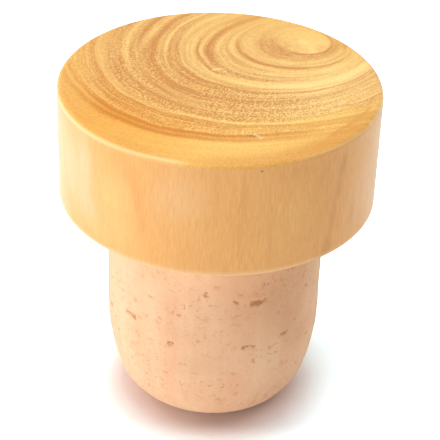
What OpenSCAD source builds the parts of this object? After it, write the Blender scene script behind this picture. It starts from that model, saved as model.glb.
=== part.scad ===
// A bottle stopper: a turned wooden head on a cork shank.
// The shank is glued into a blind socket in the head's underside.
// Millimetres, +Z up, origin at the centre of the shank's flat end.

/* [Head] */
// Diameter of the turned head
head_d = 28; // [25:0.5:36]
// Height of the head above its underside
head_h = 10.5; // [8:0.5:16]
// Radius of the rounding round the top edge
top_edge_r = 0.45; // [0.2:0.05:1]
// Chamfer that breaks the edge round the underside
lower_arris = 0.12; // [0.05:0.01:0.3]

/* [Shank] */
// Diameter of the cork shank, which seals the bottle's neck
shank_d = 19.5; // [17:0.5:21]
// Length of shank below the head
shank_l = 21; // [18:0.5:28]
// Height over which the shank's lower end draws in
nose_h = 9.4; // [8:0.2:12]
// Radius of the long curve down the nose
flank_r = 22; // [16:0.5:28]
// Radius of the tighter curve that runs into the flat end
toe_r = 4.5; // [3:0.25:6]

/* [Socket] */
// Depth of the blind socket in the head's underside
socket_depth = 4.5; // [3:0.5:6]
// How much the socket squeezes the cork, on the diameter
squeeze = 0.5; // [0.3:0.1:1]
// Depth of the tapered mouth that leads the cork into the socket
mouth_depth = 0.6; // [0.4:0.1:1.2]
// Clearance round the shank where it meets the head's underside
mouth_clearance = 0.1; // [0.06:0.02:0.3]
// Thickness of the glue film between cork and wood
glue_film = 0.05; // [0.03:0.01:0.1]
// Chamfer round the cork's glued end
tenon_chamfer = 0.4; // [0.2:0.1:0.8]

/* [Hidden] */

$fn = 180;

head_r = head_d / 2;
shank_r = shank_d / 2;
top_z = shank_l + head_h;

// The socket, and the cork tenon that fills it but for the glue
socket_r = shank_r - squeeze / 2;
socket_floor_z = shank_l + socket_depth;
mouth_r = shank_r + mouth_clearance;
mouth_top_z = shank_l + mouth_depth;
tenon_r = socket_r - glue_film;
tenon_top_z = socket_floor_z - glue_film;

// The nose is two arcs that run into each other without a corner:
// the flank's centre lies on the far side of the axis, the toe's above the flat end
flank_x = shank_r - flank_r;
toe_x = flank_x + sqrt(pow(flank_r - toe_r, 2) - pow(nose_h - toe_r, 2));
arcs_meet_z = toe_r - toe_r * (nose_h - toe_r) / (flank_r - toe_r);

// Half section of the head, with its socket
module head_section() {
    difference() {
        polygon([
            [0, socket_floor_z],
            [socket_r, socket_floor_z],
            [socket_r, mouth_top_z],
            [mouth_r, shank_l],
            [head_r - lower_arris, shank_l],
            [head_r, shank_l + lower_arris],
            [head_r, top_z],
            [0, top_z]
        ]);
        translate([head_r - top_edge_r, top_z - top_edge_r])
            difference() {
                square(2 * top_edge_r);
                circle(top_edge_r);
            }
    }
}

// Half section of the straight cork, from the nose up into the socket
module barrel_section() {
    polygon([
        [0, nose_h],
        [shank_r, nose_h],
        [shank_r, shank_l],
        [tenon_r, mouth_top_z],
        [tenon_r, tenon_top_z - tenon_chamfer],
        [tenon_r - tenon_chamfer, tenon_top_z],
        [0, tenon_top_z]
    ]);
}

// Half section of the drawn-in nose, with the flat end at z = 0
module nose_section() {
    intersection() {
        translate([flank_x, nose_h]) circle(flank_r);
        translate([0, arcs_meet_z]) square([shank_r, nose_h - arcs_meet_z]);
    }
    intersection() {
        translate([toe_x, toe_r]) circle(toe_r);
        translate([toe_x, 0]) square([toe_r, arcs_meet_z]);
    }
    square([toe_x, arcs_meet_z]);
}

module head() {
    color("burlywood")
        rotate_extrude() head_section();
}

module shank() {
    color("tan")
        rotate_extrude() {
            barrel_section();
            nose_section();
        }
}

head();
shank();
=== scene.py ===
"""The looks of a bottle stopper: a turned boxwood head glued on a cork shank.

Each solid is stood for by a denser turned mesh of the same form. The head's end grain has its
growth rings and torn fibres in relief, and the cork has its pits. Shapes are worked out in
millimetres, and make_piece() takes them to metres. The colours of wood and cork are written as
sRGB, 0 to 255.
"""

import math

import bpy
import numpy as np
from mathutils import Matrix, Vector


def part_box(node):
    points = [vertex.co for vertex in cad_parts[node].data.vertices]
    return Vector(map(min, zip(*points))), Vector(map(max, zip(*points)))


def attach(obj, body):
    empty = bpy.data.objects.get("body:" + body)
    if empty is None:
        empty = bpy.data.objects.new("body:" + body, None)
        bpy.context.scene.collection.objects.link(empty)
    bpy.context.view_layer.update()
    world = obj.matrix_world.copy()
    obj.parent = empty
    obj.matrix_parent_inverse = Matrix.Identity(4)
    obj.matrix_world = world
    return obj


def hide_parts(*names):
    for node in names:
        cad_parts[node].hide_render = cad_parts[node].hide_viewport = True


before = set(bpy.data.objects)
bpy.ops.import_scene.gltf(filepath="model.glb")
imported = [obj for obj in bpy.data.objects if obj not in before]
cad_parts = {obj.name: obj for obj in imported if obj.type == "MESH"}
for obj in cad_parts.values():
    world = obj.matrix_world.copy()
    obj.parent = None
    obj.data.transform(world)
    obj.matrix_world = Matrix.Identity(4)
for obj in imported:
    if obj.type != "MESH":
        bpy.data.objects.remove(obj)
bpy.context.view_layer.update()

MM = 0.001

# ---------------------------------------------------------------- sizes, from the frame

head_low, head_high = (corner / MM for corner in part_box("head"))
shank_low, shank_high = (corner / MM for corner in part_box("shank"))
HEAD_R = (head_high.x - head_low.x) / 2
TOP_Z = head_high.z
UNDER_Z = head_low.z
SHANK_R = (shank_high.x - shank_low.x) / 2
TENON_TOP_Z = shank_high.z

# Small forms of the solids, as the part's source has them
TOP_EDGE_R = 0.45
LOWER_ARRIS = 0.12
NOSE_H = 9.4
FLANK_R = 22.0
TOE_R = 4.5
SOCKET_DEPTH = 4.5
SQUEEZE = 0.5
MOUTH_DEPTH = 0.6
MOUTH_CLEARANCE = 0.1
GLUE_FILM = 0.05
TENON_CHAMFER = 0.4

# The fit goes by the true circle. The shank's box is that of its facets, whose corner meets the
# circle only at the right
TRUE_SHANK_R = shank_high.x
SOCKET_R = TRUE_SHANK_R - SQUEEZE / 2
SOCKET_MOUTH_R = TRUE_SHANK_R + MOUTH_CLEARANCE
TENON_R = SOCKET_R - GLUE_FILM

# ---------------------------------------------------------------- growth rings of the head

# The tree's pith lies off the head's middle, and the rings crowd towards the rim beside it. A ring
# is named by its radius about the pith at 210 degrees, where all but the first are widest. Each
# line gives a ring's radius every 15 degrees from 120 degrees round to 345.
PITH = (7.25, 8.3)
FIRST_TURN = 120
TURN_STEP = 15
RINGS = {
    2.2: [2.2, 2.2, 2.2, 2.2, 2.2, 2.2, 2.2, 2.2, 2.3, 2.35, 2.4, 2.45, 2.45, 2.5, 2.5, 2.5],
    6.1: [4.6, 4.8, 5.0, 5.3, 5.75, 6.1, 6.1, 5.95, 5.65, 5.4, 5.05, 4.9, 4.8, 4.7, 4.6, 4.5],
    9.2: [5.9, 6.2, 6.6, 7.15, 8.05, 8.85, 9.2, 9.1, 8.6, 8.05, 7.5, 6.9, 6.6, 6.3, 6.1, 5.9],
    12.0: [7.9, 8.4, 9.1, 10.1, 10.9, 11.6, 12.0, 11.75, 10.95, 10.2, 9.35, 8.65, 8.15, 7.7, 7.4, 7.2],
    14.2: [9.6, 10.2, 11, 12.1, 12.9, 13.6, 14.2, 13.85, 12.95, 11.75, 10.6, 9.6, 8.9, 8.4, 8.2, 8.1],
    16.2: [11.4, 12.3, 13.3, 14.4, 15.4, 16, 16.2, 15.9, 14.9, 13.7, 12.4, 11.2, 10.4, 10, 9.6, 9.4],
    18.5: [13.5, 14.4, 15.5, 16.9, 17.9, 18.4, 18.5, 18.1, 17.1, 15.9, 14.5, 13.4, 13.2, 12.6, 12, 11.5],
    21.2: [16, 17.2, 18.5, 19.7, 20.6, 21.1, 21.2, 20.9, 19.6, 17.8, 15.8, 15.3, 15.4, 15, 14.2, 13.5],
    25.0: [19.5, 21, 22.3, 23.5, 24.4, 24.9, 25, 24.7, 23.4, 21.4, 19.6, 18.6, 18.2, 17.5, 17, 16.5],
}
# Degrees over which the corners of a ring are eased
TURN_EASE = 5.0

# How dark the wood is from ring to ring: 0 is its pale colour and 1 its dark one
RING_TONES = [
    (0.0, -0.2), (0.3, -0.05), (0.6, 0.12), (1.4, 0.16), (1.9, 0.2), (2.15, 0.42), (2.4, 0.8),
    (2.6, 0.75), (2.9, 0.7), (3.3, 0.86), (3.6, 0.7), (3.95, 0.76), (4.4, 0.54), (5.0, 0.28),
    (5.35, 0.42), (5.6, 0.42),
    (5.9, 0.62), (6.1, 0.8), (6.3, 0.72), (6.5, 0.4), (6.8, 0.12), (7.0, 0.3), (7.25, 0.68),
    (7.5, 0.52), (8.0, 0.36), (8.4, 0.56), (8.65, 0.38), (9.1, 0.62), (9.4, 0.6), (9.8, 0.34),
    (10.1, 0.55), (10.4, 0.34), (10.75, 0.18), (11.1, 0.36), (11.35, 0.54), (11.8, 0.3),
    (12.1, 0.98), (12.3, 0.84), (12.6, 0.74), (12.95, 1.1), (13.25, 0.56), (13.6, 0.74),
    (13.95, 0.52), (14.15, 0.84), (14.4, 1.15), (14.65, 0.9), (15.0, 0.9), (15.35, 0.6),
    (15.65, 0.7), (15.95, 0.84), (16.4, 0.62), (16.75, 0.7), (17.1, 0.92), (17.45, 0.72),
    (17.8, 0.84), (18.2, 0.6), (18.5, 0.4), (18.7, 0.14), (18.9, 0.4), (19.2, 0.95), (19.45, 0.66),
    (19.8, 0.56), (20.3, 0.6), (20.9, 0.42), (21.15, 0.7), (21.45, 1.0), (21.75, 0.6),
    (22.1, 0.95), (22.35, 0.7), (22.7, 0.34), (23.2, 0.3), (24.2, 0.24), (25.0, 0.3), (27.0, 0.4),
]
# Where the rings show more and less: (direction, contrast, added darkness)
SECTORS = [
    (60, 0.5, -0.02), (140, 0.36, 0.0), (165, 0.45, 0.0), (195, 0.66, 0.0), (220, 0.9, 0.05),
    (250, 0.9, -0.04), (275, 0.6, -0.2), (300, 0.5, -0.25), (330, 0.6, -0.1),
]
# The darkness that contrast leaves as it is
SECTOR_MIDDLE = 0.5
# Lines that show only part of the way round: (ring, half width, added darkness, from, to)
RING_LINES = [
    (1.65, 0.5, 0.2, 185, 285), (0.9, 0.5, 0.14, 225, 300), (2.45, 0.25, 0.55, 250, 400),
    (2.8, 0.6, -0.2, 50, 165), (3.5, 0.8, 0.2, 345, 440), (3.2, 0.6, 0.3, 268, 360),
    (4.9, 0.6, 0.8, 345, 440), (8.9, 0.9, 0.3, 90, 150), (5.0, 0.35, 0.3, 262, 345),
    (21.35, 0.2, 0.3, 215, 256), (22.1, 0.3, 0.25, 222, 242), (21.8, 0.8, -0.3, 180, 214),
    (18.6, 1.3, 0.3, 288, 335), (22.9, 0.5, -0.2, 236, 262), (20.2, 0.6, 0.3, 262, 300),
    (23.6, 1.4, 0.3, 264, 300), (6.3, 0.5, 0.2, 262, 305), (20.3, 0.5, 0.2, 215, 240),
    (18.85, 0.2, 0.2, 200, 236), (2.8, 0.2, 0.15, 170, 250), (3.8, 0.2, 0.15, 165, 205),
    (4.7, 0.3, -0.15, 235, 300), (6.15, 0.2, 0.3, 185, 318), (6.7, 0.2, 0.1, 230, 300),
    (7.3, 0.2, -0.4, 240, 400), (7.8, 0.2, -0.2, 236, 262), (8.25, 0.15, 0.2, 232, 268),
    (8.2, 0.25, -0.25, 175, 200), (8.7, 0.2, 0.3, 110, 205), (9.15, 0.3, 0.55, 110, 212),
    (9.1, 0.2, 0.15, 212, 252), (9.8, 0.15, -0.2, 180, 205), (10.15, 0.18, 0.35, 178, 222),
    (10.2, 0.55, -0.35, 232, 330), (11.1, 0.2, 0.25, 235, 262), (11.95, 0.3, -0.3, 110, 175),
    (12.1, 0.16, 0.45, 228, 318), (12.9, 0.3, -0.5, 236, 290), (13.15, 0.2, -0.45, 120, 196),
    (13.45, 0.2, 0.4, 236, 262), (14.2, 0.25, 0.25, 110, 195), (14.2, 0.2, 0.25, 236, 292),
    (15.0, 0.3, -0.4, 100, 185), (15.45, 0.25, 0.4, 100, 188), (16.4, 0.25, -0.3, 100, 200),
    (16.05, 0.2, 0.25, 236, 272), (17.8, 0.2, 0.2, 236, 262), (18.35, 0.2, -0.4, 236, 280),
    (18.8, 0.2, 0.6, 236, 270), (21.15, 0.2, 0.2, 225, 275), (13.2, 0.2, 0.3, 280, 330),
    (19.3, 0.9, 0.4, 270, 290), (21.2, 0.8, 0.2, 260, 274), (10.1, 0.5, 0.25, 125, 160),
    (4.1, 0.4, 0.15, 265, 295), (9.1, 0.6, 0.2, 350, 440), (1.7, 0.5, 0.25, 300, 345),
    (7.0, 0.5, 0.2, 305, 345),
]
# Degrees over which the end of a line fades
LINE_EASE = 12.0
# Tints and torn fibres of the top. Each layer is a line of (ring, share) and one of (direction, share)
TOP_LAYERS = {
    "orange": [(
        [(0, 0.0), (12, 0.05), (18.3, 0.15), (19.2, 0.5), (20.8, 0.7), (21.3, 1.0), (27, 0.9)],
        [(60, 0.5), (160, 0.5), (205, 0.6), (222, 1.0), (234, 0.9), (250, 0.55), (262, 0.4),
         (285, 0.2), (330, 0.3)],
    )],
    "golden": [(
        [(0, 0.1), (10, 0.1), (17, 0.2), (18.3, 1.0), (27, 1.0)],
        [(60, 0.4), (160, 0.3), (200, 0.0), (245, 0.15), (275, 0.9), (330, 0.8)],
    ), (
        [(0, 0.4), (2, 0.6), (9, 0.9), (12, 0.5), (17, 0.3)],
        [(60, 1.0), (140, 0.9), (170, 0.3), (195, 0.0), (300, 0.0), (330, 0.4), (355, 1.0)],
    )],
    "pale": [(
        [(0, 0.0), (7.1, 0.0), (7.4, 0.6), (9.0, 0.5), (9.2, 1.0), (17.4, 1.0), (18.2, 0.0)],
        [(200, 0.0), (238, 0.15), (256, 0.5), (272, 0.9), (300, 0.8), (325, 0.5), (350, 0.4),
         (375, 0.0)],
    )],
    "torn": [(
        [(0, 0.0), (2.4, 0.05), (3.2, 0.3), (6, 0.35), (8.6, 0.5), (9.2, 0.9), (10.2, 0.7),
         (10.7, 0.15), (11.6, 0.3), (12.2, 0.9), (14.5, 1.0), (18.1, 0.9), (18.5, 0.35),
         (18.9, 0.3), (19.3, 0.5), (20.2, 0.5), (21.0, 0.6), (21.6, 0.15), (27, 0.05)],
        [(60, 0.1), (170, 0.25), (195, 0.4), (218, 0.58), (238, 0.95), (265, 1.0), (285, 0.6),
         (305, 0.25)],
    )],
    "lined": [(
        [(0, 0.5), (2, 0.6), (9, 1.0), (20.8, 1.0), (21.6, 0.35), (27, 0.3)],
        [(60, 0.4), (140, 0.5), (180, 0.6), (212, 1.1), (290, 1.2), (330, 0.6)],
    )],
    "dashed": [(
        [(8.5, 0.1), (9.2, 0.3), (12.0, 0.4), (17.8, 0.4), (18.4, 0.1), (20.0, 0.0), (20.3, 0.5),
         (21.0, 0.6), (21.25, 0.0)],
        [(180, 0.0), (215, 0.2), (238, 0.4), (250, 1.0), (266, 1.0), (284, 0.2), (300, 0.0)],
    )],
}

# ---------------------------------------------------------------- marks on the two pieces

# Lifted fibres on the end grain: (x, y, length, width, turn in degrees)
LIFTED_FIBRES = [
    (-0.3, 2.35, 1.0, 0.28, 20),
    (0.35, 2.0, 0.5, 0.2, 60),
    (3.15, -8.95, 0.9, 0.22, -35),
    (3.5, -9.3, 0.45, 0.16, 50),
    (7.1, 8.5, 0.6, 0.2, 10),
    (7.6, 8.2, 0.4, 0.14, -30),
]
# Short cuts where a fibre was pulled out, same form
PULLED_FIBRES = [(2.75, -8.95, 0.8, 0.16, -8), (0.1, 1.75, 0.6, 0.12, -15)]
# Fine dark lines that cross the rings near the rim: (x, y, half length, half width, turn, darkness)
CROSS_LINES = [
    (10.4, -6.9, 1.5, 0.13, 48, 0.5), (11.4, -5.5, 1.4, 0.13, 56, 0.45),
    (11.3, -6.9, 1.2, 0.12, 40, 0.4), (12.2, -4.3, 1.1, 0.12, 62, 0.35),
    (9.6, -8.2, 1.2, 0.13, 35, 0.3), (12.7, -2.6, 1.0, 0.12, 70, 0.25),
]
# Pin knot on the head's side: (degrees round from the front, height, radius)
PIN_KNOT = (14.8, 30.93, 0.09)
# Added darkness of the top close to its rim: (degrees round from the front, darkness)
RIM_TONES = [(-150, 0.0), (-10, 0.05), (0, 0.25), (15, 0.4), (30, 0.5), (45, 0.55), (60, 0.5),
             (76, 0.1), (90, 0.0)]
# Painted highlight on the rounded corner of the top: (degrees round, share, slope in degrees)
EDGE_HIGHLIGHTS = [(-150, 0.5, 40), (-90, 0.7, 25), (-60, 0.75, 28), (-45, 0.65, 32), (-30, 0.55, 45),
                 (-15, 0.6, 60), (-8, 0.0, 60), (22, 0.0, 50), (32, 0.2, 50), (60, 0.4, 32),
                 (90, 0.8, 35), (120, 0.6, 40)]
# Tints of the side wood: (degrees round, height, half width, half height, lean, share)
SIDE_TINTS = {
    "side_orange": [
        (-36, 30.5, 2.7, 0.9, 0, 0.27), (-28.4, 29.2, 0.6, 1.5, 8, 0.28),
        (-25.8, 26.9, 0.5, 1.7, -3, 0.24), (-25.0, 24.5, 0.7, 1.6, 3, 0.21),
        (-21.0, 22.4, 1.3, 1.3, 20, 0.2), (-14.0, 24.2, 2.2, 1.5, 0, 0.14),
        (-10.0, 22.5, 1.2, 1.2, 0, 0.14), (-67, 23.4, 2.2, 1.3, -10, 0.21),
        (-55, 21.8, 2.8, 0.6, -6, 0.18), (52, 21.5, 2.4, 0.5, 0, 0.1), (4, 27.5, 1.6, 3.6, 0, 0.08),
        (112, 28.6, 2.4, 1.4, 10, 0.25), (158, 24.0, 1.2, 3.0, -4, 0.25),
        (-150, 29.0, 2.8, 1.2, 0, 0.25), (-104, 23.4, 1.6, 1.8, 8, 0.25),
        (-168, 23.0, 2.4, 1.2, -6, 0.2),
    ],
    "side_yellow": [
        (-36.5, 26.5, 2.0, 2.0, 0, 0.38), (-34, 23.8, 1.6, 2.0, 0, 0.38),
        (-42, 22.8, 1.8, 1.3, 0, 0.24), (-68, 28.4, 1.8, 1.8, 0, 0.19),
        (28, 26.4, 1.4, 1.6, 0, 0.14), (71, 27, 1.4, 3.6, 0, 0.22), (20, 23.8, 2.0, 1.4, 0, 0.1),
    ],
    # Paler wood, and at -78 and 84 degrees a painted sheen along the head's left and right edges
    "side_pale_and_sheen": [
        (-52, 27.2, 1.3, 3.6, 0, 0.45), (-60, 27.0, 2.2, 3.0, 0, 0.4),
        (-78, 26.5, 3.6, 6.0, 0, 0.45), (-50, 24.4, 1.6, 1.6, 0, 0.36),
        (-12, 28.2, 2.2, 2.0, 0, 0.18), (62, 26.0, 2.0, 3.0, 0, 0.12),
        (84, 26.5, 4.0, 6.0, 0, 0.22), (140, 27.0, 3.0, 5.0, 0, 0.3),
        (-120, 25.0, 2.4, 3.6, 0, 0.3), (176, 28.6, 2.0, 2.4, 0, 0.25),
    ],
    "side_dark": [
        (47.2, 29.4, 0.45, 1.3, -10, 0.36), (45.6, 27.2, 0.4, 1.5, -8, 0.3),
        (43.6, 24.6, 0.4, 1.8, -7, 0.26), (41.7, 22.0, 0.55, 1.3, -6, 0.36),
        (38.0, 29.2, 0.5, 1.5, 0, 0.16), (54.4, 24.2, 0.4, 1.4, -5, 0.2),
        (40, 27, 2.6, 5.0, 0, 0.08), (27, 30.2, 2.6, 1.2, 0, 0.08), (0.4, 28.6, 0.25, 3.2, 0, 0.12),
        (9.2, 29.0, 0.25, 2.6, 0, 0.12), (-45.4, 28.6, 0.3, 1.8, 0, 0.1),
        (-30.2, 29.4, 0.6, 1.0, 10, 0.14), (-27.4, 27.6, 0.45, 1.8, 6, 0.16),
        (-24.8, 25.0, 0.4, 1.6, 4, 0.12), (18.6, 24.0, 0.3, 2.6, 0, 0.1),
        (122, 26.0, 0.5, 4.0, 3, 0.14), (132, 24.0, 0.4, 2.4, 4, 0.16),
        (-134, 27.0, 0.5, 3.6, -3, 0.16), (-158, 26.0, 0.4, 3.0, -2, 0.14),
        (168, 25.0, 0.4, 3.4, 2, 0.14), (-110, 28.0, 0.4, 2.0, 0, 0.14),
    ],
}

# Browner patches of the cork, same form; those on its right front are also painted shade
CORK_VEILS_AND_SHADE = [
    (32, 15.5, 4.6, 4.4, 0, 0.42), (22, 18.5, 3.4, 2.2, 0, 0.4), (44, 12.5, 2.2, 3.0, 0, 0.4),
    (52, 9.5, 2.0, 1.6, 0, 0.3), (8, 16.5, 1.6, 1.4, 0, 0.2), (-20, 11.4, 2.0, 1.0, 0, 0.12),
    (-8, 8.0, 2.4, 1.2, 0, 0.15), (-30, 17.6, 1.6, 1.2, 0, 0.15), (140, 13.0, 4.0, 5.0, 0, 0.35),
    (-130, 9.0, 3.4, 4.0, 0, 0.3), (-95, 16.0, 3.0, 2.6, 0, 0.25), (100, 8.0, 3.0, 3.0, 0, 0.3),
]
# Lenticels that show on the front of the cork:
# (degrees round from the front, height, half width, half height, darkness)
LENTICELS = [
    (24.1, 14.75, 0.80, 0.30, 1.0), (28.0, 15.05, 0.28, 0.16, 0.7), (20.5, 15.0, 0.22, 0.12, 0.6),
    (18.0, 10.15, 0.55, 0.15, 1.0), (22.0, 10.1, 0.28, 0.12, 0.6),
    (-48.1, 11.3, 0.70, 0.22, 0.75), (-21.3, 10.1, 0.30, 0.16, 1.0), (-24.2, 9.75, 0.30, 0.13, 0.6),
    (-33.8, 14.5, 0.28, 0.18, 0.9), (-31.5, 14.6, 0.2, 0.1, 0.4), (-3.5, 15.95, 0.16, 0.12, 1.0),
    (-22.0, 15.95, 0.16, 0.14, 0.45), (11.8, 15.2, 0.24, 0.16, 0.7), (13.9, 16.1, 0.2, 0.12, 0.5),
    (31.5, 17.3, 0.12, 0.10, 1.0), (29.2, 16.55, 0.34, 0.12, 0.75), (37.6, 15.25, 0.2, 0.14, 0.5),
    (41.5, 10.5, 0.40, 0.26, 0.85), (34.6, 9.6, 0.35, 0.2, 0.35), (49.3, 11.5, 0.3, 0.2, 0.5),
    (37.0, 13.0, 0.2, 0.14, 0.45), (-20.5, 13.75, 0.14, 0.12, 0.7), (-17.6, 13.4, 0.16, 0.12, 0.7),
    (-15.0, 14.4, 0.1, 0.1, 0.7), (5.9, 13.4, 0.3, 0.14, 0.4), (-4.7, 12.4, 0.3, 0.12, 0.3),
    (4.1, 12.0, 0.2, 0.14, 0.4), (-29.9, 12.05, 0.2, 0.12, 0.45), (-37.5, 12.5, 0.2, 0.16, 0.35),
    (-42.5, 9.95, 0.24, 0.18, 0.45), (-13.8, 8.2, 0.24, 0.16, 0.6), (-8.2, 7.2, 0.2, 0.16, 0.6),
    (-21.0, 6.8, 0.5, 0.12, 0.45), (-25.5, 6.6, 0.2, 0.12, 0.45), (-15.5, 5.9, 0.24, 0.2, 0.6),
    (-13.1, 4.8, 0.2, 0.14, 0.4), (6.5, 6.6, 0.12, 0.12, 0.35), (-28.1, 5.75, 0.16, 0.1, 0.35),
    (14.1, 4.8, 0.12, 0.1, 0.45), (1.8, 16.9, 0.3, 0.2, 0.35), (-25.8, 17.5, 0.2, 0.14, 0.35),
    (-55.0, 14.0, 0.4, 0.2, 0.4), (58.0, 14.2, 0.3, 0.2, 0.45), (62.0, 8.5, 0.4, 0.25, 0.4),
]
# The rest of the cork is strewn with lenticels like them, a few of them long
FRONT_HALF_ANGLE = 66.0
STREWN_SEED = 7
STREWN_COUNT = 90
STREWN_LOWEST = 1.5
STREWN_BELOW_HEAD = 0.6
STREWN_HALF_WIDTH = (0.12, 0.3)
STREWN_HALF_HEIGHT = (0.1, 0.22)
STREWN_DARKNESS = (0.3, 1.0)
STREWN_LONG_SHARE = 0.2
STREWN_LONG = 2.4

# ---------------------------------------------------------------- helpers

# Shares of its octave's length that a wave may have, and how square-shouldered a spot is
WAVE_LENGTHS = (0.7, 1.3)
SPOT_SHOULDER = 1.5
# Corners of more degrees than this stay sharp
CORNER_ANGLE = 38.0
# The fan that closes a far cap reaches out to this share of its radius
FAN_SHARE = 1 / 3
# In millimetres: a distance that stands for touching, and one that stands for nothing
TOUCH = 0.01
TINY = 1e-6


def smooth_step(value, low, high):
    """0 below low, 1 above high, and an easy curve between."""
    share = np.clip((value - low) / (high - low), 0, 1)
    return share * share * (3 - 2 * share)


def waves(x, y, seed, longest, count=7, octaves=3):
    """Smooth random hills from -1 to 1 or so, made of sine waves in random directions."""
    rng = np.random.default_rng(seed)
    total = np.zeros_like(x)
    for octave in range(octaves):
        for _ in range(count):
            turn, phase = rng.uniform(0, 2 * math.pi, 2)
            length = longest / 2**octave * rng.uniform(*WAVE_LENGTHS)
            along = (x * math.cos(turn) + y * math.sin(turn)) / length
            total += np.sin(2 * math.pi * along + phase) / 2**octave
    return total / math.sqrt(count)


def profile_value(points, distance):
    """The value of a (distance, value) line at each distance."""
    table = np.array(points)
    return np.interp(distance, table[:, 0], table[:, 1])


def sector_value(sectors, turn, column=1):
    """The value of a (degrees, value, ...) line at each direction, all the way round."""
    table = np.array(sectors)
    return np.interp(turn, table[:, 0], table[:, column], period=360)


def off_turn(turn, middle):
    """How far each direction is from a middle one, in degrees from -180 to 180."""
    return (turn - middle + 180) % 360 - 180


def spot_share(x, y, spot_x, spot_y, half_length, half_width, turn=0.0):
    """1 at the middle of an oval spot, falling to 0 past its edge."""
    c, s = math.cos(math.radians(turn)), math.sin(math.radians(turn))
    along = ((x - spot_x) * c + (y - spot_y) * s) / half_length
    across = (-(x - spot_x) * s + (y - spot_y) * c) / half_width
    return np.exp(-((along**2 + across**2) ** SPOT_SHOULDER))


def marks_share(x, y, marks):
    """How much each point of the top has of its marks (x, y, length, width, turn)."""
    total = np.zeros_like(x)
    for mark_x, mark_y, length, width, turn in marks:
        spot = spot_share(x, y, mark_x, mark_y, length / 2, width / 2, turn)
        total = np.maximum(total, spot)
    return total


def patch_share(around, z, radius, patches):
    """How much each point of a turned side has of its patches (degrees round from the front,
    height, half width, half height, lean, share)."""
    total = np.zeros_like(z)
    for degrees, height, half_width, half_height, lean, share in patches:
        across = np.radians(off_turn(around, degrees)) * radius
        spot = spot_share(across, z, 0, height, half_width, half_height, lean)
        total = np.maximum(total, share * spot)
    return total


def disc_grid(cells):
    """An even square grid of cells x cells pressed out to the unit disc, and its rim's indices
    counter-clockwise from -45 degrees."""
    side = np.linspace(-1, 1, cells + 1)
    a, b = np.meshgrid(side, side)
    wide = np.abs(a) >= np.abs(b)
    radius = np.where(wide, a, b)
    safe = np.where(radius == 0, 1, radius)
    turn = np.where(wide, math.pi / 4 * b / safe, math.pi / 2 - math.pi / 4 * a / safe)
    points = np.stack([radius * np.cos(turn), radius * np.sin(turn)], -1).reshape(-1, 2)
    index = np.arange((cells + 1) ** 2).reshape(cells + 1, cells + 1)
    faces = np.stack([index[:-1, :-1], index[:-1, 1:], index[1:, 1:], index[1:, :-1]], -1)
    rim = np.concatenate([index[:-1, -1], index[-1, :0:-1], index[:0:-1, 0], index[0, :-1]])
    return points, faces.reshape(-1, 4), rim


def arc(centre_r, centre_z, radius, start, end, steps):
    """Profile points (r, z) on an arc between two directions in degrees, both ends included."""
    turn = np.radians(np.linspace(start, end, steps + 1))
    return np.stack([centre_r + radius * np.cos(turn), centre_z + radius * np.sin(turn)], -1)


def line(start, end, steps=1):
    """Profile points (r, z) on a straight line, both ends included."""
    return np.linspace(start, end, steps + 1)


def joined(*stretches):
    """Profile stretches end to end, with each shared point once."""
    points = [stretches[0]]
    for stretch in stretches[1:]:
        points.append(stretch[1:])
    return np.concatenate(points)


def turned_solid(cap_cells, cap_z, profile):
    """A closed turned solid as (points, quads, end fan). The cap is an even grid over the disc
    at cap_z. The profile's rings (r, z) go on from the cap's rim round to the far cap, which a
    fan closes."""
    flat, quads, rim = disc_grid(cap_cells)
    rim_r = profile[0][0]
    cap = np.column_stack([flat * rim_r, np.full(len(flat), cap_z)])
    sides = len(rim)
    turn = -math.pi / 4 + 2 * math.pi * np.arange(sides) / sides
    rings = [
        np.column_stack([r * np.cos(turn), r * np.sin(turn), np.full(sides, z)])
        for r, z in profile[1:]
    ]
    points = np.concatenate([cap, *rings, [[0.0, 0.0, profile[-1][1]]]])
    starts = len(cap) + sides * np.arange(len(rings))
    upper = rim
    walls = []
    for start in starts:
        lower = start + np.arange(sides)
        walls.append(np.stack([upper, lower, np.roll(lower, -1), np.roll(upper, -1)], -1))
        upper = lower
    middle = np.full(sides, len(points) - 1)
    fan = np.stack([upper, middle, np.roll(upper, -1)], -1)
    return points, np.concatenate([quads, *walls]), fan


def add_object(name, data):
    """A new object in the scene, with its mesh, lamp or camera."""
    added = bpy.data.objects.new(name, data)
    bpy.context.scene.collection.objects.link(added)
    return added


def make_piece(name, points, quads, fan, attributes, flip=False):
    """A mesh object from points in millimetres, smooth but for its turned corners."""
    mesh = bpy.data.meshes.new(name)
    if flip:
        quads, fan = quads[:, ::-1], fan[:, ::-1]
    mesh.from_pydata((points * MM).tolist(), [], quads.tolist() + fan.tolist())
    for key, values in attributes.items():
        kind, field = ("FLOAT_VECTOR", "vector") if values.ndim == 2 else ("FLOAT", "value")
        layer = mesh.attributes.new(key, kind, "POINT")
        layer.data.foreach_set(field, values.astype(np.float32).ravel())
    mesh.shade_smooth()
    mesh.set_sharp_from_angle(angle=math.radians(CORNER_ANGLE))
    mesh.validate()
    return add_object(name, mesh)


# ---------------------------------------------------------------- the head

TOP_CELLS = 224
# Height of the band under the top edge that has finer rows, for the pin knot
KNOT_BAND = 1.0
# How far the rings stray from their lines, and where the torn fibres calm down
RING_WANDER = 0.05
TORN_PATCHES = (-2.4, -0.6)
# Relief of the end grain, which dies out before the rim
RING_RELIEF = 0.035
TORN_RELIEF = 0.05
FIBRE_LIFT = 0.05
FIBRE_CUT = 0.14
RIM_CALM = 0.7
# Share of single fibres in the torn relief, beside small hills
FIBRE_SEED = 5
RAGGED_SHARE = 0.8
# Flutes along the side grain: their relief, the hill that reaches the cylinder, and their slant
SIDE_RELIEF = 0.005
FLUTE_LEVEL = 1.5
FLUTE_SLANT = (0.2, -0.3)
SIDE_CALM = 1.0
# Where the top darkens towards its rim, the spread of the painted highlight on its rounded edge, and the
# paler lower arris
RIM_TONE_R = 11.6
RIM_TONE_WHOLE = 0.8
EDGE_SPREAD = 20.0
ARRIS_FADE = 0.22
ARRIS_PALENESS = 0.5
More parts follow.
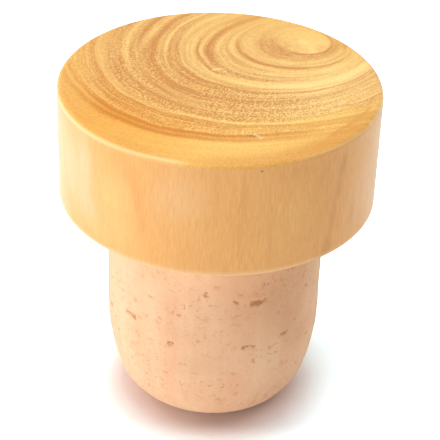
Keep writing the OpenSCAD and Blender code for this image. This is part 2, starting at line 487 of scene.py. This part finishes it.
# Share of the rounded edge's height at which the end grain is whole
END_GRAIN_WHOLE = 0.3


def ring_place(x, y):
    """For each point of the wood, its ring and its direction in degrees from the pith."""
    from_x, from_y = x - PITH[0], y - PITH[1]
    radius = np.hypot(from_x, from_y)
    turn = np.degrees(np.arctan2(from_y, from_x)) % 360
    whole = np.arange(360)
    spread = np.exp(-0.5 * (off_turn(whole, 0) / TURN_EASE) ** 2)
    spread = np.fft.fft(spread / spread.sum())
    ring, inner_ring, inner_radius = np.zeros_like(x), 0.0, 0.0
    for outer_ring, radii in RINGS.items():
        turns = FIRST_TURN + TURN_STEP * np.arange(len(radii))
        eased = np.fft.ifft(np.fft.fft(np.interp(whole, turns, radii, period=360)) * spread).real
        outer_radius = np.interp(turn, whole, eased, period=360)
        share = (radius - inner_radius) / (outer_radius - inner_radius)
        ring = np.where(share > 0, inner_ring + share * (outer_ring - inner_ring), ring)
        inner_ring, inner_radius = outer_ring, outer_radius
    return ring + RING_WANDER * waves(x, y, seed=3, longest=5.0), turn


def ring_darkness(ring, turn):
    """How dark the wood is at each ring and direction."""
    dark = profile_value(RING_TONES, ring) - SECTOR_MIDDLE
    dark = SECTOR_MIDDLE + dark * sector_value(SECTORS, turn) + sector_value(SECTORS, turn, 2)
    for line_ring, half_width, added, first, last in RING_LINES:
        middle, reach = (first + last) / 2, (last - first) / 2
        off = np.abs(off_turn(turn, middle))
        shown = 1 - smooth_step(off, reach - LINE_EASE, reach + LINE_EASE)
        dark += added * shown * np.exp(-(((ring - line_ring) / half_width) ** 2))
    return dark


def top_shares(x, y, ring, turn):
    """How much each point has of each of the top's layers."""
    shares = {}
    for name, layers in TOP_LAYERS.items():
        parts = [
            profile_value(rings, ring) * sector_value(sectors, turn) for rings, sectors in layers
        ]
        shares[name] = np.max(parts, axis=0)
    shares["torn"] *= smooth_step(waves(x, y, seed=11, longest=9.0), *TORN_PATCHES)
    return shares


def edge_highlight_share(radius, z, round_front):
    """How pale the head's two edges are: a painted highlight on the rounded one of the top, and a paler
    lower arris.
    """
    corner = HEAD_R - TOP_EDGE_R
    slope = np.arctan2(z - (TOP_Z - TOP_EDGE_R), np.maximum(radius - corner, TINY))
    off = np.degrees(slope) - sector_value(EDGE_HIGHLIGHTS, round_front, 2)
    rounded = np.exp(-((off / EDGE_SPREAD) ** 2)) * sector_value(EDGE_HIGHLIGHTS, round_front)
    rounded *= radius > corner - TOUCH
    arris_z = UNDER_Z + LOWER_ARRIS
    arris = 1 - smooth_step(z, arris_z, arris_z + ARRIS_FADE)
    return np.maximum(rounded, arris * ARRIS_PALENESS)


def pin_knot(z, round_front):
    """How much each point of the side has of the pin knot."""
    degrees, height, radius = PIN_KNOT
    across = np.radians(round_front - degrees) * HEAD_R
    return spot_share(across, z, 0, height, radius, radius)


def top_sink(radius, x, y, tone, torn, lifted, pulled):
    """How far each point of the top lies below its plane: soft early wood is cut a little lower
    than late wood, torn fibres stand ragged, and lifted ones come back up."""
    rng = np.random.default_rng(FIBRE_SEED)
    fibres = rng.uniform(-1, 0, len(x))
    hills = waves(x, y, seed=21, longest=0.5, count=9)
    ragged = np.clip(-RAGGED_SHARE * fibres - (1 - RAGGED_SHARE) * hills, 0, 1)
    sunk = RING_RELIEF * (1 - np.clip(tone, 0, 1)) + TORN_RELIEF * torn * ragged
    corner = HEAD_R - TOP_EDGE_R
    calm = 1 - smooth_step(radius, corner - RIM_CALM, corner)
    return calm * (sunk + FIBRE_CUT * pulled - lifted * np.minimum(FIBRE_LIFT, sunk))


def side_flutes(radius, x, y, z):
    """How far each point of the side lies in from its cylinder: shallow flutes along the fibres."""
    on_side = smooth_step(z, UNDER_Z + LOWER_ARRIS, UNDER_Z + SIDE_CALM)
    on_side *= 1 - smooth_step(z, TOP_Z - 2 * TOP_EDGE_R, TOP_Z - TOP_EDGE_R)
    on_side *= radius > HEAD_R - TOUCH
    slant_x, slant_y = FLUTE_SLANT
    hills = waves(x + slant_x * z, y + slant_y * z, seed=31, longest=1.2, count=9)
    return on_side * SIDE_RELIEF * np.maximum(FLUTE_LEVEL - hills, 0)


def head_profile():
    """The head's section from the top's rim down the side, in under the lip and up the socket."""
    edge_z = TOP_Z - TOP_EDGE_R
    arris_z = UNDER_Z + LOWER_ARRIS
    arris_r = HEAD_R - LOWER_ARRIS
    mouth_z = UNDER_Z + MOUTH_DEPTH
    floor_z = UNDER_Z + SOCKET_DEPTH
    return joined(
        arc(HEAD_R - TOP_EDGE_R, edge_z, TOP_EDGE_R, 90, 0, steps=6),
        line((HEAD_R, edge_z), (HEAD_R, TOP_Z - KNOT_BAND), steps=8),
        line((HEAD_R, TOP_Z - KNOT_BAND), (HEAD_R, arris_z), steps=22),
        line((HEAD_R, arris_z), (arris_r, UNDER_Z)),
        line((arris_r, UNDER_Z), (SOCKET_MOUTH_R, UNDER_Z), steps=3),
        line((SOCKET_MOUTH_R, UNDER_Z), (SOCKET_R, mouth_z)),
        line((SOCKET_R, mouth_z), (SOCKET_R, floor_z)),
        line((SOCKET_R, floor_z), (SOCKET_R * FAN_SHARE, floor_z)),
    )


def make_head():
    points, quads, fan = turned_solid(TOP_CELLS, TOP_Z, head_profile())
    x, y, z = points.T
    radius = np.hypot(x, y)
    round_front = np.degrees(np.arctan2(x, -y))
    ring, turn = ring_place(x, y)

    tone = ring_darkness(ring, turn)
    for mark_x, mark_y, half_length, half_width, slant, dark in CROSS_LINES:
        tone += dark * spot_share(x, y, mark_x, mark_y, half_length, half_width, slant)
    near_rim = smooth_step(radius, RIM_TONE_R, HEAD_R - RIM_TONE_WHOLE)
    tone += sector_value(RIM_TONES, round_front) * near_rim

    end_grain = smooth_step(z, TOP_Z - TOP_EDGE_R, TOP_Z - END_GRAIN_WHOLE * TOP_EDGE_R)
    shares = top_shares(x, y, ring, turn)
    lifted = marks_share(x, y, LIFTED_FIBRES)
    pulled = marks_share(x, y, PULLED_FIBRES) + pin_knot(z, round_front) * (1 - end_grain)

    tints = {
        name: patch_share(round_front, z, HEAD_R, patches) for name, patches in SIDE_TINTS.items()
    }

    on_top = np.arange(len(x)) < (TOP_CELLS + 1) ** 2
    sink = on_top * top_sink(radius, x, y, tone, shares["torn"], lifted, pulled)
    scale = 1 - side_flutes(radius, x, y, z) / HEAD_R
    points = np.column_stack([x * scale, y * scale, z - sink])
    return make_piece("boxwood_head", points, quads, fan, {
        "ring_mm": ring,
        "around": np.column_stack([np.cos(np.radians(turn)), np.sin(np.radians(turn)), 0 * x]),
        "tone": tone,
        "end_grain": end_grain,
        **{name: share * end_grain for name, share in shares.items()},
        "lifted": lifted * end_grain,
        "pulled": pulled,
        # a painted highlight on the top's rounded edge, and the paler lower arris
        "highlight_and_pale_arris": edge_highlight_share(radius, z, round_front),
        **tints,
    })


# ---------------------------------------------------------------- the shank

FLAT_CELLS = 120
PIT_DEPTH = 0.06
# Unevenness of the cork, which dies out under the head and towards the flat end
CORK_UNEVEN = 0.015
UNEVEN_LEVEL = 1.4
CORK_CALM = 0.5
FLAT_CALM = 1.2
FLAT_MIDDLE = 0.5
# How far a lenticel's outline strays, across and up, and degrees that count as a millimetre
LENTICEL_STRAY = (0.16, 0.12)
LENTICEL_TURN = 5
UNEVEN_TURN = 6


def shank_profile():
    """The shank's section from the flat end's rim up the nose and barrel to the glued end."""
    flank_x = SHANK_R - FLANK_R
    toe_x = flank_x + math.sqrt((FLANK_R - TOE_R) ** 2 - (NOSE_H - TOE_R) ** 2)
    meet = -math.degrees(math.asin((NOSE_H - TOE_R) / (FLANK_R - TOE_R)))
    mouth_z = UNDER_Z + MOUTH_DEPTH
    chamfer_z = TENON_TOP_Z - TENON_CHAMFER
    chamfer_r = TENON_R - TENON_CHAMFER
    return joined(
        arc(toe_x, TOE_R, TOE_R, -90, meet, steps=42),
        arc(flank_x, NOSE_H, FLANK_R, meet, 0, steps=44),
        line((SHANK_R, NOSE_H), (SHANK_R, UNDER_Z), steps=80),
        line((SHANK_R, UNDER_Z), (TENON_R, mouth_z)),
        line((TENON_R, mouth_z), (TENON_R, chamfer_z)),
        line((TENON_R, chamfer_z), (chamfer_r, TENON_TOP_Z)),
        line((chamfer_r, TENON_TOP_Z), (TENON_R * FAN_SHARE, TENON_TOP_Z)),
    )


def strewn_lenticels():
    """Lenticels for the cork's back and sides, like the ones named for its front."""
    rng = np.random.default_rng(STREWN_SEED)
    spots = []
    while len(spots) < STREWN_COUNT:
        angle = rng.uniform(-180, 180)
        height = rng.uniform(STREWN_LOWEST, UNDER_Z - STREWN_BELOW_HEAD)
        half_width = rng.uniform(*STREWN_HALF_WIDTH)
        if rng.random() < STREWN_LONG_SHARE:
            half_width *= STREWN_LONG
        half_height = rng.uniform(*STREWN_HALF_HEIGHT)
        dark = rng.uniform(*STREWN_DARKNESS)
        if abs(angle) > FRONT_HALF_ANGLE:
            spots.append((angle, height, half_width, half_height, dark))
    return spots


def lenticel_share(around, z):
    """How much each point of the cork has of its lenticels, ragged ovals that lie across it."""
    stray_across, stray_up = LENTICEL_STRAY
    across = stray_across * waves(around / LENTICEL_TURN, z, seed=41, longest=1.1)
    up = stray_up * waves(around / LENTICEL_TURN, z, seed=42, longest=0.9)
    total = np.zeros_like(z)
    for angle, height, half_width, half_height, dark in LENTICELS + strewn_lenticels():
        from_spot = np.radians(off_turn(around, angle)) * SHANK_R
        spot = spot_share(from_spot + across, z + up, 0, height, half_width, half_height)
        total = np.maximum(total, dark * spot)
    return total


def make_shank():
    points, quads, fan = turned_solid(FLAT_CELLS, 0.0, shank_profile())
    x, y, z = points.T
    radius = np.hypot(x, y)
    around = np.degrees(np.arctan2(x, -y))

    pitted = lenticel_share(around, z)
    uneven = CORK_UNEVEN * (UNEVEN_LEVEL - waves(around / UNEVEN_TURN, z, seed=51, longest=6.0))
    shown = (radius > FLAT_MIDDLE) * smooth_step(-z, -UNDER_Z, -UNDER_Z + CORK_CALM)
    shown *= np.clip(radius / SHANK_R, 0, 1) * smooth_step(z, 0.0, FLAT_CALM)
    inward = shown * (PIT_DEPTH * pitted + np.maximum(uneven, 0))
    scale = 1 - inward / np.maximum(radius, TINY)
    points = np.column_stack([x * scale, y * scale, z])
    # browner patches, on the right front also painted shade
    veiled_and_shaded = patch_share(around, z, SHANK_R, CORK_VEILS_AND_SHADE)
    shares = {"pitted": pitted, "veiled_and_shaded": veiled_and_shaded}
    return make_piece("cork_shank", points, quads, fan, shares, flip=True)


# ---------------------------------------------------------------- nodes


def linear(colour):
    """An sRGB colour, 0 to 255, as Blender's linear colour."""
    parts = [value / 255 for value in colour]
    return [p / 12.92 if p <= 0.04045 else ((p + 0.055) / 1.055) ** 2.4 for p in parts] + [1.0]


class Nodes:
    """Short ways to add nodes to a tree. Each input is a socket or a plain value."""

    def __init__(self, tree):
        self.nodes = tree.nodes
        self.links = tree.links

    def feed(self, socket, value):
        if isinstance(value, bpy.types.NodeSocket):
            self.links.new(value, socket)
        else:
            socket.default_value = value

    def maths(self, operation, first, second):
        node = self.nodes.new("ShaderNodeMath")
        node.operation = operation
        self.feed(node.inputs[0], first)
        self.feed(node.inputs[1], second)
        return node.outputs[0]

    def times(self, first, second):
        return self.maths("MULTIPLY", first, second)

    def total(self, first, *others):
        for other in others:
            first = self.maths("ADD", first, other)
        return first

    def spread(self, value, low, high, new_low=0.0, new_high=1.0, kind="SMOOTHSTEP"):
        """Takes low..high to new_low..new_high, and holds the ends."""
        node = self.nodes.new("ShaderNodeMapRange")
        node.interpolation_type = kind
        for socket, end in zip(node.inputs[1:5], (low, high, new_low, new_high)):
            socket.default_value = end
        self.feed(node.inputs[0], value)
        return node.outputs[0]

    def mix(self, share, first, second):
        """A mix of two colours: sockets 6 and 7 of its node, which gives it out at 2."""
        node = self.nodes.new("ShaderNodeMix")
        node.data_type = "RGBA"
        self.feed(node.inputs[0], share)
        self.feed(node.inputs[6], first)
        self.feed(node.inputs[7], second)
        return node.outputs[2]

    def layered(self, colour, *layers):
        """A colour with others laid over it, each a share and an sRGB colour."""
        for share, over in layers:
            colour = self.mix(share, colour, linear(over))
        return colour

    def join(self, x, y, z):
        node = self.nodes.new("ShaderNodeCombineXYZ")
        for socket, value in zip(node.inputs, (x, y, z)):
            self.feed(socket, value)
        return node.outputs[0]

    def split(self, vector):
        node = self.nodes.new("ShaderNodeSeparateXYZ")
        self.feed(node.inputs[0], vector)
        return node.outputs


class Surface(Nodes):
    """A Principled material, with its textures."""

    SHEEN_ROUGHNESS = 0.35

    def __init__(self, name, specular, sheen):
        self.material = bpy.data.materials.new(name)
        self.material.use_nodes = True
        super().__init__(self.material.node_tree)
        self.shader = self.nodes["Principled BSDF"]
        self.shader.inputs["Specular IOR Level"].default_value = specular
        self.shader.inputs["Sheen Weight"].default_value = sheen
        self.shader.inputs["Sheen Roughness"].default_value = self.SHEEN_ROUGHNESS

    def attribute(self, name, output="Fac"):
        node = self.nodes.new("ShaderNodeAttribute")
        node.attribute_name = name
        return node.outputs[output]

    def noise(self, vector, detail, roughness=0.5):
        node = self.nodes.new("ShaderNodeTexNoise")
        self.feed(node.inputs["Vector"], vector)
        node.inputs["Scale"].default_value = 1.0
        node.inputs["Detail"].default_value = detail
        node.inputs["Roughness"].default_value = roughness
        return node.outputs["Fac"]

    def texture(self, cells, detail, roughness=0.5):
        """Noise with so many cells a millimetre along x, y and z."""
        coords = self.nodes.new("ShaderNodeTexCoord")
        place = self.nodes.new("ShaderNodeVectorMath")
        place.operation = "MULTIPLY"
        self.feed(place.inputs[0], coords.outputs["Object"])
        place.inputs[1].default_value = [count / MM for count in cells]
        return self.noise(place.outputs[0], detail, roughness)

    def ring_texture(self, across, along, detail, roughness=0.5):
        """Noise that follows the rings: cells a millimetre across them, and cells along them
        in the angle of a radian."""
        x, y, _ = self.split(self.attribute("around", "Vector"))
        across = self.times(self.attribute("ring_mm"), across)
        vector = self.join(across, self.times(x, along), self.times(y, along))
        return self.noise(vector, detail, roughness)

    def swing(self, noise, by):
        """A noise from 0 to 1 as a change to both sides of nothing."""
        return self.times(self.total(noise, -0.5), by)

    def finish(self, colour, roughness, height, depth):
        """Feeds the shader. The height is fine relief, and 1 of it is a depth in millimetres."""
        bump = self.nodes.new("ShaderNodeBump")
        bump.inputs["Strength"].default_value = 1.0
        bump.inputs["Distance"].default_value = depth * MM
        self.feed(bump.inputs["Height"], height)
        self.feed(self.shader.inputs["Normal"], bump.outputs[0])
        self.feed(self.shader.inputs["Base Color"], colour)
        self.feed(self.shader.inputs["Roughness"], roughness)
        return self.material


# ---------------------------------------------------------------- boxwood

# Textures along the rings: cells across and along them, detail, roughness
FINE_LINES = (7.5, 3.0, 2.0, 0.6)
STROKES = (4.6, 150.0, 1.0, 0.6)
DASHES = (1.3, 90.0, 1.0)
# Textures along the trunk: cells a millimetre along x, y and z, detail, roughness
FIBRES = ((9.0, 9.0, 1.1), 3.0, 0.6)
GRAIN = ((12.0, 12.0, 0.9), 2.0, 0.6)
STREAKS = ((1.6, 1.6, 0.14), 2.0)
CLOUDS = ((0.16, 0.16, 0.08), 2.0)
SPECKS = ((5.0, 5.0, 1.0), 1.0)

# Light and dark wood of the top, plain and in its layers, and of the side
PLAIN_TOP = ((250, 211, 130), (200, 132, 66))
TINTED_TOPS = {
    "pale": ((255, 221, 147), (206, 142, 78)),
    "golden": ((249, 209, 120), (222, 164, 82)),
    "orange": ((251, 190, 90), (208, 130, 38)),
}
PLAIN_SIDE = ((253, 196, 126), (238, 168, 98))
# Darkness of the plain side, and how much the rings add to it
SIDE_DARKNESS = 0.4
SIDE_BANDS = 0.12
# Colours of the side's tints; the pale one also stands for the painted sheen on the side's edges
SIDE_COLOURS = {
    "side_pale_and_sheen": (255, 212, 174),
    "side_yellow": (255, 206, 130),
    "side_orange": (248, 172, 90),
    "side_dark": (200, 130, 72),
}
DASH_COLOUR = (255, 222, 150)
# Colour of the painted highlight on the top's rounded edge and of the paler lower arris
HIGHLIGHT_AND_ARRIS_COLOUR = (255, 222, 172)
LIFTED_COLOUR = (255, 224, 168)
PULLED_COLOUR = (120, 68, 34)
LIFTED_WHOLE = 0.8
PULLED_WHOLE = 0.9
# Fine relief: shares of fibres and torn strokes, and what a whole share stands for in millimetres
FIBRE_HEIGHT = 0.5
STROKE_HEIGHT = 1.5
WOOD_DEPTH = 0.03
TORN_ROUGHNESS = 0.2


def boxwood():
    """Pale, close-grained wood. The end grain's figure comes from the head's attributes, and the
    same rings leave a faint trace on the side."""
    wood = Surface("boxwood", specular=0.15, sheen=0.4)
    tone = wood.attribute("tone")
    torn = wood.attribute("torn")
    strokes = wood.ring_texture(*STROKES)
    fibres = wood.texture(*FIBRES)
    clouds = wood.texture(*CLOUDS)

    lines = wood.times(wood.swing(wood.ring_texture(*FINE_LINES), by=1.3), wood.attribute("lined"))
    ragged = wood.times(wood.swing(strokes, by=4.4), torn)
    pores = wood.swing(fibres, by=1.2)
    dark = wood.total(tone, lines, ragged, pores, wood.swing(clouds, by=0.3))
    top = wood.mix(dark, *map(linear, PLAIN_TOP))
    for name, palette in TINTED_TOPS.items():
        top = wood.mix(wood.attribute(name), top, wood.mix(dark, *map(linear, palette)))
    dashes = wood.spread(wood.ring_texture(*DASHES), low=0.54, high=0.68)
    top = wood.layered(top, (wood.times(dashes, wood.attribute("dashed")), DASH_COLOUR))

    grain = wood.swing(wood.texture(*GRAIN), by=1.7)
    streaks = wood.swing(wood.texture(*STREAKS), by=0.3)
    bands = wood.times(tone, SIDE_BANDS)
    dark = wood.total(SIDE_DARKNESS, bands, grain, streaks, wood.swing(clouds, by=0.5))
    side = wood.mix(dark, *map(linear, PLAIN_SIDE))
    side = wood.layered(side, *((wood.attribute(name), tint) for name, tint in SIDE_COLOURS.items()))

    colour = wood.layered(
        wood.mix(wood.attribute("end_grain"), side, top),
        # painted highlight on the top's rounded edge, and the paler lower arris
        (wood.attribute("highlight_and_pale_arris"), HIGHLIGHT_AND_ARRIS_COLOUR),
        (wood.times(wood.attribute("lifted"), LIFTED_WHOLE), LIFTED_COLOUR),
        (wood.times(wood.attribute("pulled"), PULLED_WHOLE), PULLED_COLOUR),
    )
    satin = wood.spread(wood.texture(*SPECKS), low=0.3, high=0.7, new_low=0.44, new_high=0.6)
    roughness = wood.total(satin, wood.times(torn, TORN_ROUGHNESS))
    torn_height = wood.times(wood.times(strokes, torn), STROKE_HEIGHT)
    height = wood.total(wood.times(fibres, FIBRE_HEIGHT), torn_height)
    return wood.finish(colour, roughness, height, WOOD_DEPTH)


# ---------------------------------------------------------------- cork

# Textures of the cork: cells a millimetre along x, y and z, and detail
BLOTCHES = ((0.3, 0.3, 0.16), 3.0)
CORK_STREAKS = ((0.9, 0.9, 0.05), 2.0)
MOTTLE = ((1.5, 1.5, 1.1), 3.0)
CELLS = ((12.0, 12.0, 12.0), 1.0)
CLUSTERS = ((0.22, 0.22, 0.3), 1.0)
SMUDGES = ((1.5, 1.5, 2.0), 2.0)
GRIT = ((3.0, 3.0, 3.4), 1.0)
CRUMBS = ((4.6, 4.6, 7.5), 1.5)

LIGHT_CORK = (255, 214, 174)
DARK_CORK = (246, 186, 144)
CORK_DARKNESS = 0.45
# Colour of the browner patches, on the right front also painted shade
VEIL_AND_SHADE_COLOUR = (222, 164, 118)
SMUDGE_COLOUR = (216, 152, 112)
GRIT_COLOUR = (208, 144, 104)
STAIN_COLOUR = (226, 158, 112)
LENTICEL_COLOUR = (180, 108, 66)
CORK_DEPTH = 0.03


def cork():
    """Smooth pinkish cork with brown lenticels and a fine cell texture."""
    bark = Surface("cork", specular=0.08, sheen=0.15)
    pitted = bark.attribute("pitted")
    mottle = bark.texture(*MOTTLE)
    cells = bark.texture(*CELLS)

    blotches = bark.swing(bark.texture(*BLOTCHES), by=1.0)
    streaks = bark.swing(bark.texture(*CORK_STREAKS), by=0.7)
    fine = bark.total(bark.swing(mottle, by=0.5), bark.swing(cells, by=0.2))
    dark = bark.total(CORK_DARKNESS, blotches, streaks, fine)

    clustered = bark.spread(bark.texture(*CLUSTERS), low=0.4, high=0.62, new_low=0.25)
    smudges = bark.spread(bark.texture(*SMUDGES), low=0.57, high=0.74, new_high=0.55)
    grit = bark.spread(bark.texture(*GRIT), low=0.58, high=0.8, new_high=0.6)
    stained = bark.spread(pitted, low=0.0, high=0.5, new_high=0.4)
    crumbled = bark.spread(bark.texture(*CRUMBS), low=0.34, high=0.62, new_low=0.45)
    lenticels = bark.times(bark.spread(pitted, low=0.1, high=0.85, new_high=0.8), crumbled)
    colour = bark.layered(
        linear(LIGHT_CORK),
        (dark, DARK_CORK),
        # browner patches, on the right front also painted shade
        (bark.attribute("veiled_and_shaded"), VEIL_AND_SHADE_COLOUR),
        (bark.times(smudges, clustered), SMUDGE_COLOUR),
        (bark.times(grit, clustered), GRIT_COLOUR),
        (stained, STAIN_COLOUR),
        (lenticels, LENTICEL_COLOUR),
    )
    roughness = bark.spread(mottle, low=0.3, high=0.7, new_low=0.6, new_high=0.78)
    height = bark.times(bark.total(cells, mottle), 0.5)
    return bark.finish(colour, roughness, height, CORK_DEPTH)


# ---------------------------------------------------------------- stage, light and camera

WHITE = (1.0, 1.0, 1.0, 1.0)
# The floor: half its side in metres, its colour where it is seen in the open and at the
# stopper's foot, and its colour for light that bounces off it
FLOOR_HALF = 1.2
FLOOR_SEEN = (1.6, 2.0, 2.2, 1.0)
FLOOR_CONTACT = (0.88, 0.765, 0.75, 1.0)
FLOOR_BOUNCE = (0.9, 0.9, 0.9, 1.0)
# The shade at the foot: its reach in metres, the side that it leans to, and the shares of open
# room between which it fades
CONTACT_REACH = 0.0104
CONTACT_SLANT = (0.04, 0.24, 1.0)
CONTACT_EDGE = (0.4, 0.84)
# The light that falls from the room: its strength at the horizon and the ceiling, and the heights
# between which it fades
HORIZON_LIGHT = 0.32
CEILING_LIGHT = 0.0
HORIZON_EDGE = (0.2, 0.5)

# Square soft boxes: place in metres and power in watts
LAMP_SIDE = 0.25
LAMP_AIM = (0, 0, 0.018)
LAMPS = {
    "left_window": ((-0.484, 0.068, 0.104), 0.9),
    "left_front": ((-0.346, -0.346, 0.104), 1.03),
    "left_high": ((-0.25, 0.0, 0.433), 0.9),
    "right_high": ((0.25, 0.0, 0.433), 0.75),
    "right_rim": ((0.443, 0.207, 0.104), 0.24),
    "overhead": ((0.0, -0.02, 0.5), 0.95),
}

# The view: 33 degrees down, from 145 mm, with the stopper leaning 2 degrees in the frame. The clip
# distances are in metres
PHOTO_WIDTH = 440
FOCAL_PIXELS = 1605.0
SENSOR_MM = 36.0
CAMERA_DISTANCE = 145.0
CAMERA_ELEVATION = 33.0
CAMERA_ROLL = 2.1
CAMERA_AIM = (0.39, 0.0, 17.43)
CAMERA_CLIP = (0.01, 10.0)


def seen_directly(tree):
    """1 for what the camera, a gloss or a clear surface sees, and 0 for light that falls."""
    path = tree.nodes.new("ShaderNodeLightPath")
    seen = path.outputs["Is Camera Ray"]
    for name in ("Is Glossy Ray", "Is Transmission Ray"):
        seen = tree.maths("MAXIMUM", seen, path.outputs[name])
    return seen


def make_floor():
    """A plain white floor, darker where the stopper's foot hides it from the room."""
    mesh = bpy.data.meshes.new("floor")
    h = FLOOR_HALF
    mesh.from_pydata([(-h, -h, 0), (h, -h, 0), (h, h, 0), (-h, h, 0)], [], [(0, 1, 2, 3)])
    floor = add_object("floor", mesh)
    material = bpy.data.materials.new("white_floor")
    material.use_nodes = True
    material.node_tree.nodes.clear()
    tree = Nodes(material.node_tree)
    hidden = tree.nodes.new("ShaderNodeAmbientOcclusion")
    hidden.inputs["Distance"].default_value = CONTACT_REACH
    tree.feed(hidden.inputs["Normal"], tree.join(*CONTACT_SLANT))
    shade = tree.mix(tree.spread(hidden.outputs["AO"], *CONTACT_EDGE), FLOOR_CONTACT, FLOOR_SEEN)
    matt = tree.nodes.new("ShaderNodeBsdfDiffuse")
    tree.feed(matt.inputs["Color"], tree.mix(seen_directly(tree), FLOOR_BOUNCE, shade))
    output = tree.nodes.new("ShaderNodeOutputMaterial")
    tree.feed(output.inputs["Surface"], matt.outputs[0])
    mesh.materials.append(material)


def make_world():
    """A white room: plain white where it is seen, and a softer light where it falls."""
    world = bpy.data.worlds.new("white_room")
    bpy.context.scene.world = world
    world.use_nodes = True
    world.node_tree.nodes.clear()
    tree = Nodes(world.node_tree)
    coords = tree.nodes.new("ShaderNodeTexCoord")
    up = tree.split(coords.outputs["Generated"])[2]
    fade = tree.spread(up, *HORIZON_EDGE, HORIZON_LIGHT, CEILING_LIGHT, kind="LINEAR")
    mix = tree.nodes.new("ShaderNodeMixShader")
    tree.feed(mix.inputs[0], seen_directly(tree))
    for socket, strength in zip(mix.inputs[1:], (fade, 1.0)):
        light = tree.nodes.new("ShaderNodeBackground")
        tree.feed(light.inputs["Strength"], strength)
        light.inputs["Color"].default_value = WHITE
        tree.feed(socket, light.outputs[0])
    output = tree.nodes.new("ShaderNodeOutputWorld")
    tree.feed(output.inputs["Surface"], mix.outputs[0])


def make_lamps():
    for name, (place, power) in LAMPS.items():
        data = bpy.data.lights.new(name, "AREA")
        data.size = LAMP_SIDE
        data.energy = power
        lamp = add_object(name, data)
        lamp.location = place
        lamp.rotation_mode = "QUATERNION"
        lamp.rotation_quaternion = (Vector(place) - Vector(LAMP_AIM)).to_track_quat("Z", "Y")


def make_camera():
    data = bpy.data.cameras.new("camera")
    data.sensor_width = SENSOR_MM
    data.lens = FOCAL_PIXELS / PHOTO_WIDTH * SENSOR_MM
    data.clip_start, data.clip_end = CAMERA_CLIP
    camera = add_object("camera", data)
    elevation = math.radians(CAMERA_ELEVATION)
    back = Vector((0, -math.cos(elevation), math.sin(elevation)))
    place = Matrix.Translation((Vector(CAMERA_AIM) + back * CAMERA_DISTANCE) * MM)
    tilt = Matrix.Rotation(math.pi / 2 - elevation, 4, "X")
    roll = Matrix.Rotation(math.radians(CAMERA_ROLL), 4, "Z")
    camera.matrix_world = place @ tilt @ roll
    bpy.context.scene.camera = camera


# ---------------------------------------------------------------- the scene

for maker, material, node, slot in (
    (make_head, boxwood, "head", "boxwood"),
    (make_shank, cork, "shank", "cork"),
):
    piece = maker()
    piece.data.materials.append(material())
    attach(piece, "root")
    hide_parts(node)

make_floor()
make_world()
make_lamps()
make_camera()
bpy.context.scene.view_settings.view_transform = "Standard"
